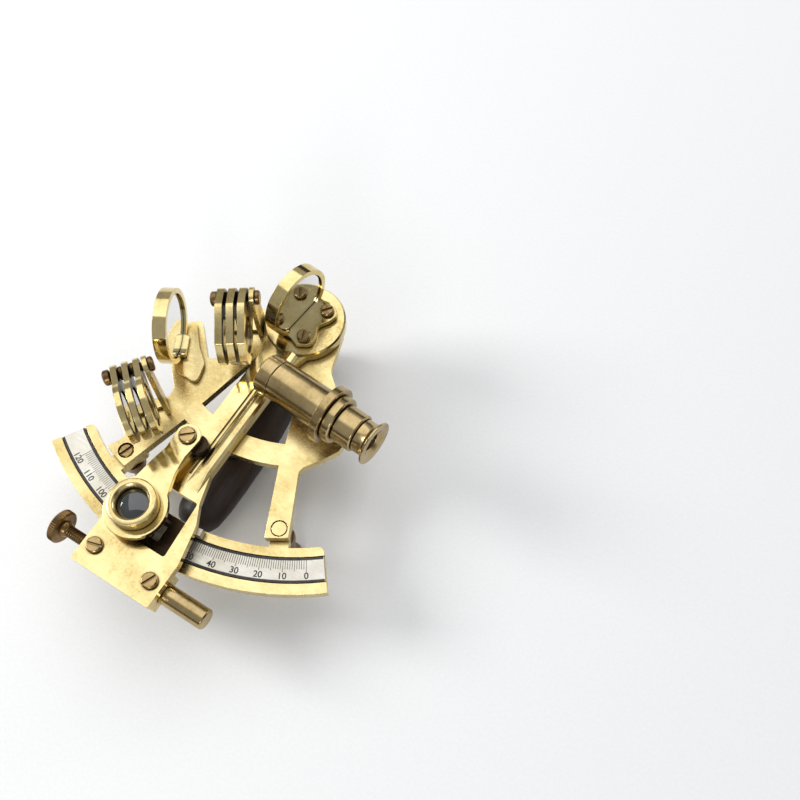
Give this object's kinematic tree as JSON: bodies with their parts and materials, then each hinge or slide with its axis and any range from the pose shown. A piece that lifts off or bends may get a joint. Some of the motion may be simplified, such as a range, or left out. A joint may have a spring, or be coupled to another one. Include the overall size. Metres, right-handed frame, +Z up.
{
  "type": "nautical sextant",
  "caption": "Small brass vernier sextant with index arm, tangent screw, swinging magnifier, two mirrors, hinged shades, telescope, wooden grip and feet.",
  "frame": {"origin": "on the index arm's pivot axis, at the underside of the foot below the pivot", "axes": "+Z is up, square to the arc's plane, towards the mirrors; the arc's middle lies towards -Y; +X is towards the telescope's eyepiece"},
  "size_m": [0.1154, 0.1303, 0.0626],
  "materials": {
    "polished_brass": "polished, lacquered, hand worn",
    "turned_brass": "lathe turned, satin",
    "aged_brass": "darkened in the slots and threads",
    "blackened_brass": "blackened, satin",
    "silvered_scale": "silvered, engraved and filled black",
    "spring_steel": "drawn wire",
    "mirror_silver": "silvered glass",
    "dark_wood": "stained rosewood, oiled",
    "clear_glass": "polished lens",
    "light_tint": "neutral light shade",
    "green_tint": "green shade",
    "grey_tint": "dark grey shade"
  },
  "bodies": {
    "frame": {"frame_plate": "polished_brass", "limb": "polished_brass", "arc_scale": "silvered_scale", "pivot_bearing": "polished_brass", "rear_foot": "aged_brass", "foot_left": "aged_brass", "foot_right": "aged_brass", "limb_screw_left": "aged_brass", "limb_screw_right": "polished_brass", "handle": "dark_wood", "handle_post_upper": "aged_brass", "handle_post_lower": "aged_brass", "horizon_mirror_frame": "polished_brass", "horizon_mirror_glass": "mirror_silver", "horizon_mirror_base": "polished_brass", "telescope_bracket": "turned_brass", "telescope_tube": "turned_brass", "objective_cell": "turned_brass", "objective_lens": "clear_glass", "index_shade_bracket": "polished_brass", "index_shade_pin": "aged_brass", "horizon_shade_bracket": "polished_brass", "horizon_shade_pin": "aged_brass"},
    "index_arm": {"index_arm": "polished_brass", "vernier_scale": "silvered_scale", "vernier_frame": "blackened_brass", "tangent_block": "polished_brass", "spring_barrel": "polished_brass", "backlash_spring": "spring_steel", "plate_screw_left": "aged_brass", "plate_screw_right": "aged_brass", "magnifier_post": "blackened_brass", "magnifier_screw": "aged_brass", "index_mirror_frame": "polished_brass", "index_mirror_glass": "mirror_silver", "index_mirror_screw_1": "aged_brass", "index_mirror_screw_2": "aged_brass", "pivot_axle": "aged_brass", "pivot_nut": "aged_brass"},
    "tangent_screw": {"tangent_screw": "aged_brass"},
    "limb_clamp": {"limb_clamp": "aged_brass"},
    "clamp_screw": {"clamp_screw": "aged_brass"},
    "magnifier": {"magnifier_blade": "polished_brass", "magnifier_barrel": "polished_brass", "magnifier_lens": "clear_glass"},
    "drawtube": {"drawtube": "turned_brass", "eyepiece": "turned_brass", "eye_lens": "clear_glass"},
    "index_shade_1": {"index_shade_frame_1": "polished_brass", "index_shade_glass_1": "light_tint"},
    "index_shade_2": {"index_shade_frame_2": "polished_brass", "index_shade_glass_2": "green_tint"},
    "index_shade_3": {"index_shade_frame_3": "polished_brass", "index_shade_glass_3": "grey_tint"},
    "horizon_shade_1": {"horizon_shade_frame_1": "polished_brass", "horizon_shade_glass_1": "light_tint"},
    "horizon_shade_2": {"horizon_shade_frame_2": "polished_brass", "horizon_shade_glass_2": "green_tint"},
    "horizon_shade_3": {"horizon_shade_frame_3": "polished_brass", "horizon_shade_glass_3": "grey_tint"}
  },
  "joints": [
    {"name": "index_arm_swing", "type": "hinge", "parent": "frame", "child": "index_arm", "pos_m": [0, 0, 0.03], "axis": [0, 0, 1], "range_deg": [-11, 34]},
    {"name": "tangent_screw_turn", "type": "hinge", "parent": "index_arm", "child": "tangent_screw", "pos_m": [-0.00746, -0.10674, 0.026], "axis": [0.9976, -0.0698, 0], "range_deg": [-540, 540]},
    {"name": "limb_clamp_shift", "type": "hinge", "parent": "index_arm", "child": "limb_clamp", "pos_m": [0, 0, 0.02], "axis": [0, 0, 1], "range_deg": [-0.66, 0.66]},
    {"name": "clamp_screw_turn", "type": "hinge", "parent": "limb_clamp", "child": "clamp_screw", "pos_m": [-0.00663, -0.09477, 0.01], "axis": [0, 0, -1], "range_deg": [0, 360]},
    {"name": "magnifier_swing", "type": "hinge", "parent": "index_arm", "child": "magnifier", "pos_m": [-0.01061, -0.06001, 0.038], "axis": [0, 0, 1], "range_deg": [-20, 40]},
    {"name": "drawtube_slide", "type": "slide", "parent": "frame", "child": "drawtube", "axis": [0.9895, -0.1444, 0], "range_m": [0, 0.006]},
    {"name": "index_shade_1_swing", "type": "hinge", "parent": "frame", "child": "index_shade_1", "pos_m": [-0.02382, -0.01268, 0.05], "axis": [-0.8763, -0.4818, 0], "range_deg": [0, 108]},
    {"name": "index_shade_2_swing", "type": "hinge", "parent": "frame", "child": "index_shade_2", "pos_m": [-0.0204, -0.0108, 0.05], "axis": [-0.8763, -0.4818, 0], "range_deg": [0, 108]},
    {"name": "index_shade_3_swing", "type": "hinge", "parent": "frame", "child": "index_shade_3", "pos_m": [-0.01698, -0.00892, 0.05], "axis": [-0.8763, -0.4818, 0], "range_deg": [0, 108]},
    {"name": "horizon_shade_1_swing", "type": "hinge", "parent": "frame", "child": "horizon_shade_1", "pos_m": [-0.03813, -0.05618, 0.054], "axis": [-0.6756, -0.7373, 0], "range_deg": [0, 98]},
    {"name": "horizon_shade_2_swing", "type": "hinge", "parent": "frame", "child": "horizon_shade_2", "pos_m": [-0.0355, -0.0533, 0.054], "axis": [-0.6756, -0.7373, 0], "range_deg": [0, 98]},
    {"name": "horizon_shade_3_swing", "type": "hinge", "parent": "frame", "child": "horizon_shade_3", "pos_m": [-0.03287, -0.05042, 0.054], "axis": [-0.6756, -0.7373, 0], "range_deg": [0, 98]}
  ],
  "couplings": [
    {"joint": "limb_clamp_shift", "follows": "tangent_screw_turn", "ratio": 0.00119}
  ]
}
